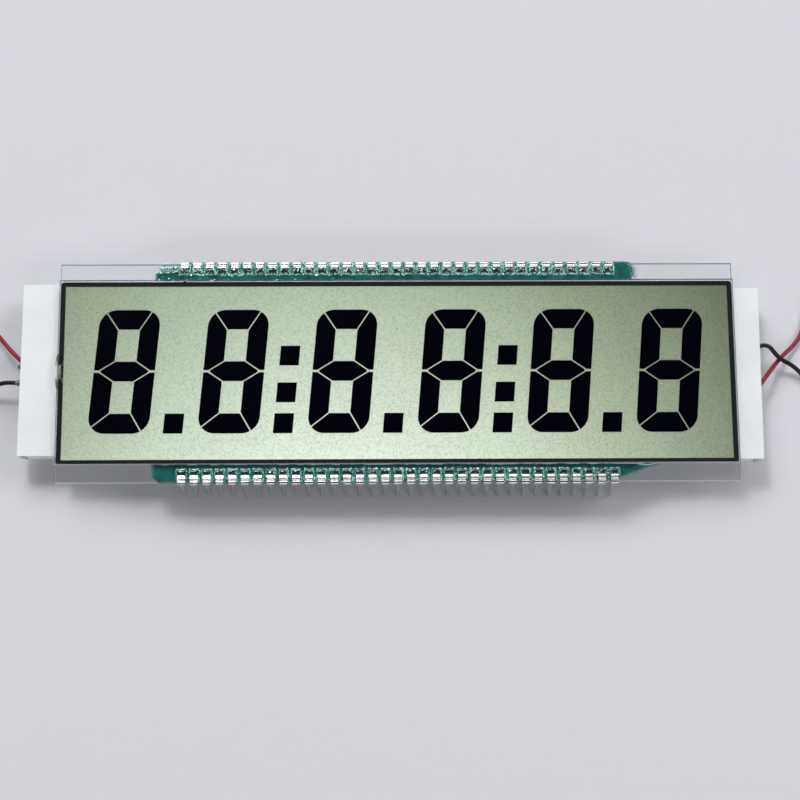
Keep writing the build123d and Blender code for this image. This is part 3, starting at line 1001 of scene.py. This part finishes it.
def makePins():
    model = makeClip()
    copies = []
    for i in range(clip["count"]):
        copy = copyPiece(model)
        offset = (i - (clip["count"] - 1) / 2) * clip["pitch"] + clip["middle"]
        sway = clip["sway"] * noise.noise(Vector((i * 1.7, 0.3, 0)))
        copy.location = ((offset + sway) * mm, 0, 0)
        copies.append(copy)
    bpy.data.objects.remove(model)
    lower = joinPieces(copies, "lowerPins")
    upper = copyPiece(lower)
    lower.location.y = clip["shift"]["lower"] * mm
    settle(lower, "lowerPins")
    mirrorAcross(upper, "upperPins", clip["shift"]["upper"])
    tin = tinPlate()
    dress(lower, [tin], ["lower_pins"])
    dress(upper, [tin], ["upper_pins"])


makePins()
print("pins made:", 2 * clip["count"])


# Potting resin: teal epoxy that wets the clips, the ledge and the front glass's edge
resin = {
    "glassTop": 8.9,
    "meniscus": 0.5,
    "height": 0.3,
    "skirt": 0.2,
    "hang": 0.85,
    "left": -49.5,
    "corner": 1.3,
    "taper": 1.2,
    "thinnest": 0.04,
    # the rounding of the outer rim: its depth and its length inwards
    "rim": (0.1, 0.12),
    # the fillet up each side of a clip (height, distance off the clip, width) and the dip between clips
    "fillet": (0.2, 0.05, 0.16),
    "dip": 0.07,
    # how far inwards both run: the length they start over, their end, and the length they end over
    "beside": (0.5, 2.9, 0.6),
    # small waves all over and more round the clips, and long swells as a share of the thickness
    "ripple": 0.02,
    "clipRipple": 0.05,
    "swell": 0.14,
    # the painted highlight line round each clip: how far off it is, how much that strays, and its width
    "ring": (0.2, 0.3, 0.15),
    # the smear where the outer part was wiped back: its middle, half width and share of the thickness; it
    # also gets the painted highlight
    "smear": (1.1, 0.5, 0.8),
    # wall of the front glass, right end, how far it slants back, how long it thins out, where the left
    # end's outer part starts, how high it climbs at the glass, how strong its painted highlight round the
    # clips is, and the middle, half length and height of the humps over the fingers, whose middle and half
    # length also place the painted shade over the tips
    "lower": {
        "wall": 19.12,
        "right": 53.4,
        "runOut": 8.8,
        "fade": 5.5,
        "start": 0.0,
        "climb": 0.6,
        "gleam": 0.45,
        "hump": (1.85, 0.55, 0.26),
    },
    "upper": {
        "wall": 18.82,
        "right": 49.4,
        "runOut": 0.0,
        "fade": 2.4,
        "start": 4.6,
        "climb": 0.34,
        "gleam": 0.8,
        "hump": (1.75, 0.75, 0.42),
    },
    "columns": 900,
    "topRows": 30,
    "skirtRows": 7,
}


def resinHeight(x, inward, bead):
    # thickness over the ledge, at a place inward from the glass edge
    toWall = clip["glassEdge"] - bead["wall"] - inward
    height = resin["height"] + (bead["climb"] - resin["height"]) * math.exp(-toWall / resin["meniscus"])
    middle, reach, rise = bead["hump"]
    ripple = resin["ripple"]
    index = round(x / clip["pitch"])
    if abs(index) <= (clip["count"] - 1) / 2:
        half = clip["width"] / 2
        aside = abs(x - index * clip["pitch"])
        along = (inward - middle) / reach
        height += rise * math.exp(-((aside / half) ** 4) - along**4)
        start, end, fade = resin["beside"]
        near = smoothStep(inward / start) * smoothStep((end - inward) / fade)
        fillet, off, width = resin["fillet"]
        height += fillet * math.exp(-(((aside - half - off) / width) ** 2)) * near
        height -= resin["dip"] * smoothStep((aside - half) / (clip["pitch"] / 2 - half)) * near
        ripple += resin["clipRipple"] * near
    height += ripple * noise.noise(Vector((x * 2.7, inward * 2.7, 4.1)))
    return height * (1 + resin["swell"] * noise.noise(Vector((x * 0.45, inward * 0.5, 1.3))))


def paintedResinLight(x, inward, bead):
    # painted light: 0 for painted shade over the finger tips, up to 1 for the painted highlight line round
    # the clips, 0.5 elsewhere
    index = round(x / clip["pitch"])
    if abs(index) > (clip["count"] - 1) / 2:
        return 0.5
    aside = abs(x - index * clip["pitch"]) - clip["width"] / 2
    ahead = inward - clip["finger"][0][0]
    away = math.hypot(max(aside, 0), max(ahead, 0))
    # a painted highlight line round the clip, at a wavering distance
    off, stray, width = resin["ring"]
    off += stray * noise.noise(Vector((x * 1.3, inward * 1.3, 7.7)))
    ring = math.exp(-(((away - off) / width) ** 2))
    middle, reach = bead["hump"][:2]
    # painted shade over the finger tips
    over = smoothStep(-aside / 0.2) * math.exp(-(((inward - middle) / reach) ** 4))
    return 0.5 + bead["gleam"] * ring - 0.5 * over


def resinSection(wall):
    # once round the bead: over the ledge, down the outer side, back along the glass
    depth = clip["glassEdge"] - wall
    rows = [("top", depth * (1 - r / resin["topRows"])) for r in range(resin["topRows"] + 1)]
    rows += [("skirt", r / resin["skirtRows"]) for r in range(1, resin["skirtRows"] + 1)]
    return rows + [("edge", 0), ("under", depth)]


def resinPlace(along, kind, value, bead):
    # a point of the bead in millimetres, how thick it is there, and its painted shade or highlight
    edge, floor = clip["glassEdge"], resin["glassTop"]
    depth = edge - bead["wall"]
    inward = value if kind in ("top", "under") else 0
    # both ends are rounded in plan, and a run-out slants the right one
    corner = resin["corner"] * (1 - smoothStep(inward / resin["corner"])) ** 2
    left = resin["left"] + corner
    right = bead["right"] - bead["runOut"] * (1 - inward / depth) - corner
    x = left + (right - left) * along
    thinLeft = (x - left - bead["start"] * smoothStep((2.2 - inward) / 0.6)) / resin["taper"]
    taper = smoothStep(0.12 + thinLeft) * smoothStep(0.1 + (right - x) / bead["fade"])
    middle, reach, share = resin["smear"]
    smear = math.exp(-(((inward - middle) / reach) ** 4)) * smoothStep((x - left - 0.6) / 1.2)
    smear *= smoothStep((left + bead["start"] + 0.8 - x) / 0.8)
    taper = max(taper, resin["thinnest"], share * smear)
    thickness = resinHeight(x, inward, bead) * taper
    top = floor + thickness
    y, z = -edge + inward, floor
    rimDepth, rimLength = resin["rim"]
    if kind == "top":
        z = top - rimDepth * math.exp(-inward / rimLength) * taper
    elif kind == "skirt":
        y -= resin["skirt"] * taper * math.sin(math.pi * min(value + 0.12, 1)) ** 0.6
        start = top - rimDepth * taper
        z = start - (start - floor + resin["hang"] * taper) * value
    # the smear also gets the painted highlight
    return (x + clip["middle"], y, z), thickness, max(paintedResinLight(x, inward, bead), 0.5 + 0.5 * smear)


def resinBead(name, bead):
    wall = bead["wall"]
    rows = resinSection(wall)
    columns = resin["columns"]
    deselectAll()
    bpy.ops.mesh.primitive_grid_add(x_subdivisions=columns, y_subdivisions=len(rows) - 1, size=1)
    piece = bpy.context.object
    thickness = piece.data.attributes.new("thickness", "FLOAT", "POINT")
    paintedShadeAndGleam = piece.data.attributes.new("paintedShadeAndGleam", "FLOAT", "POINT")
    for vertex in piece.data.vertices:
        column, row = round((vertex.co.x + 0.5) * columns), round((vertex.co.y + 0.5) * (len(rows) - 1))
        place, depth, shade = resinPlace(column / columns, *rows[row], bead)
        vertex.co = Vector(place) * mm
        thickness.data[vertex.index].value = depth
        paintedShadeAndGleam.data[vertex.index].value = shade
    # the section's last row is joined to its first, and both ends are closed
    makeActive(piece)
    bpy.ops.object.mode_set(mode="EDIT")
    bpy.ops.mesh.select_mode(type="EDGE")
    bpy.ops.mesh.select_all(action="SELECT")
    bpy.ops.mesh.region_to_loop()
    bpy.ops.object.mode_set(mode="OBJECT")
    for edge in piece.data.edges:
        a, b = edgeEnds(piece, edge)
        alongWall = max(abs(a.y + wall), abs(b.y + wall)) < 0.001
        edge.select = edge.select and alongWall and abs(a.x - b.x) > 0.01
    bpy.ops.object.mode_set(mode="EDIT")
    bpy.ops.mesh.bridge_edge_loops()
    bpy.ops.mesh.select_all(action="SELECT")
    bpy.ops.mesh.fill_holes(sides=0)
    faceOutwards(piece)
    smoothByAngle(piece, 60)
    piece.name = name
    piece.data.name = name
    return piece


def tealEpoxy():
    # dyed epoxy: deep teal and wet, darker where thick; thin films of it are paler; painted shade darkens it
    # over the finger tips, and painted cyan highlights lie round the clips
    material = newMaterial("tealEpoxy")
    deep = [(0.25, "#1A4A49"), (0.55, "#256662"), (0.85, "#337C77")]
    colour = addRamp(material, grain(material, 1.6, 3), deep)
    depth = addNode(material, "ShaderNodeAttribute", attribute_name="thickness").outputs["Fac"]
    thick = addRamp(material, depth, [(0.3, "#000000"), (0.44, "#E8E8E8")])
    colour = mixColours(material, thick, colour, hexColour("#0B2B2C"))
    paintedShadeAndGleam = addNode(material, "ShaderNodeAttribute", attribute_name="paintedShadeAndGleam").outputs["Fac"]
    # painted shade over the finger tips
    paintedTipShade = addRamp(material, paintedShadeAndGleam, [(0.1, "#FFFFFF"), (0.45, "#000000")])
    colour = mixColours(material, paintedTipShade, colour, hexColour("#052523"))
    # painted cyan highlight, in broken patches round the clips
    ring = addRamp(material, paintedShadeAndGleam, [(0.6, "#000000"), (0.95, "#FFFFFF")])
    patches = addRamp(material, grain(material, 0.38, 2), [(0.47, "#000000"), (0.55, "#FFFFFF")])
    gleam = mixColours(material, 1.0, ring, patches, "MULTIPLY")
    colour = mixColours(material, gleam, colour, hexColour("#8FF0DC"))
    film = addRamp(material, depth, [(0.03, "#000000"), (0.2, "#FFFFFF")])
    colour = mixColours(material, film, hexColour("#3C9486"), colour)
    alpha = addRamp(material, depth, [(0.0, "#202020"), (0.05, "#585858"), (0.22, "#F8F8F8")])
    normal = bumpFrom(material, grain(material, 0.45, 2), 0.03)
    shader = addNode(
        material,
        "ShaderNodeBsdfPrincipled",
        {"Roughness": 0.06, "IOR": 1.55, "Coat Weight": 1.0, "Coat Roughness": 0.03, "Coat IOR": 1.6},
        {"Base Color": colour, "Normal": normal, "Alpha": alpha},
    )
    return addOutput(material, shader.outputs["BSDF"])


def makeResin():
    teal = tealEpoxy()
    lower = resinBead("lowerResinBead", resin["lower"])
    dress(lower, [teal], ["lower_pin_resin"])
    upper = resinBead("upperResinBead", resin["upper"])
    mirrorAcross(upper, "upperResinBead")
    dress(upper, [teal], ["upper_pin_resin"])


makeResin()
print("resin beads made")


# Floor, world and lamps
studio = {
    "floor": "#D7D8DE",
    "floorSize": 3.0,
    # strength of the wall in front of the part and of the wall behind it, and how they darken upwards
    "walls": (0.5, 0.75),
    "rise": [(0.1, "#FFFFFF"), (0.3, "#A9A9A9"), (0.72, "#A9A9A9"), (0.92, "#000000")],
    "lamps": {
        # name: place, width, height and power
        "windowLamp": ((-0.6, 1.35, 1.5), 1.8, 0.7, 17.3),
        "sideLamp": ((1.1, 0.7, 1.3), 1.0, 0.7, 10.0),
        "roomLamp": ((0.5, -1.5, 1.45), 1.8, 0.6, 10.0),
        "smallLamp": ((-0.3, 0.7, 1.1), 0.25, 0.25, 4.9),
    },
}


def softRoom():
    # bright walls and a dark ceiling, so that flat glass facing up reflects little
    world = bpy.data.worlds.new("softRoom")
    world.use_nodes = True
    world.node_tree.nodes.clear()
    place = addNode(world, "ShaderNodeTexCoord").outputs["Generated"]
    axes = addNode(world, "ShaderNodeSeparateXYZ", links={"Vector": place}).outputs
    front, back = studio["walls"]
    values = {"From Min": -0.8, "From Max": 0.8, "To Min": front, "To Max": back}
    wall = addNode(world, "ShaderNodeMapRange", values, {"Value": axes["Y"]}).outputs[0]
    links = {0: wall, 1: addRamp(world, axes["Z"], studio["rise"])}
    strength = addNode(world, "ShaderNodeMath", links=links, operation="MULTIPLY").outputs[0]
    room = addNode(world, "ShaderNodeBackground", {"Color": (0.96, 0.98, 1, 1)}, {"Strength": strength})
    addNode(world, "ShaderNodeOutputWorld", links={"Surface": room.outputs[0]})
    return world


def addLamp(name, place, width, height, power):
    lamp = bpy.data.lights.new(name, "AREA")
    lamp.shape = "RECTANGLE"
    lamp.energy = power
    lamp.size, lamp.size_y = width, height
    holder = bpy.data.objects.new(name, lamp)
    holder.location = place
    holder.rotation_euler = (-Vector(place)).to_track_quat("-Z", "Y").to_euler()
    bpy.context.collection.objects.link(holder)


def paleFloor():
    # plain matt laminate
    material = newMaterial("paleLaminate")
    values = {"Base Color": hexColour(studio["floor"]), "Roughness": 0.8, "Specular IOR Level": 0.2}
    shader = addNode(material, "ShaderNodeBsdfPrincipled", values)
    deselectAll()
    bpy.ops.mesh.primitive_plane_add(size=studio["floorSize"])
    floor = bpy.context.object
    floor.name = "paleFloor"
    floor.data.materials.append(addOutput(material, shader.outputs["BSDF"]))


def makeStudio():
    scene = bpy.context.scene
    scene.view_settings.view_transform = "Standard"
    scene.world = softRoom()
    paleFloor()
    for name, settings in studio["lamps"].items():
        addLamp(name, *settings)


makeStudio()
print("studio made")
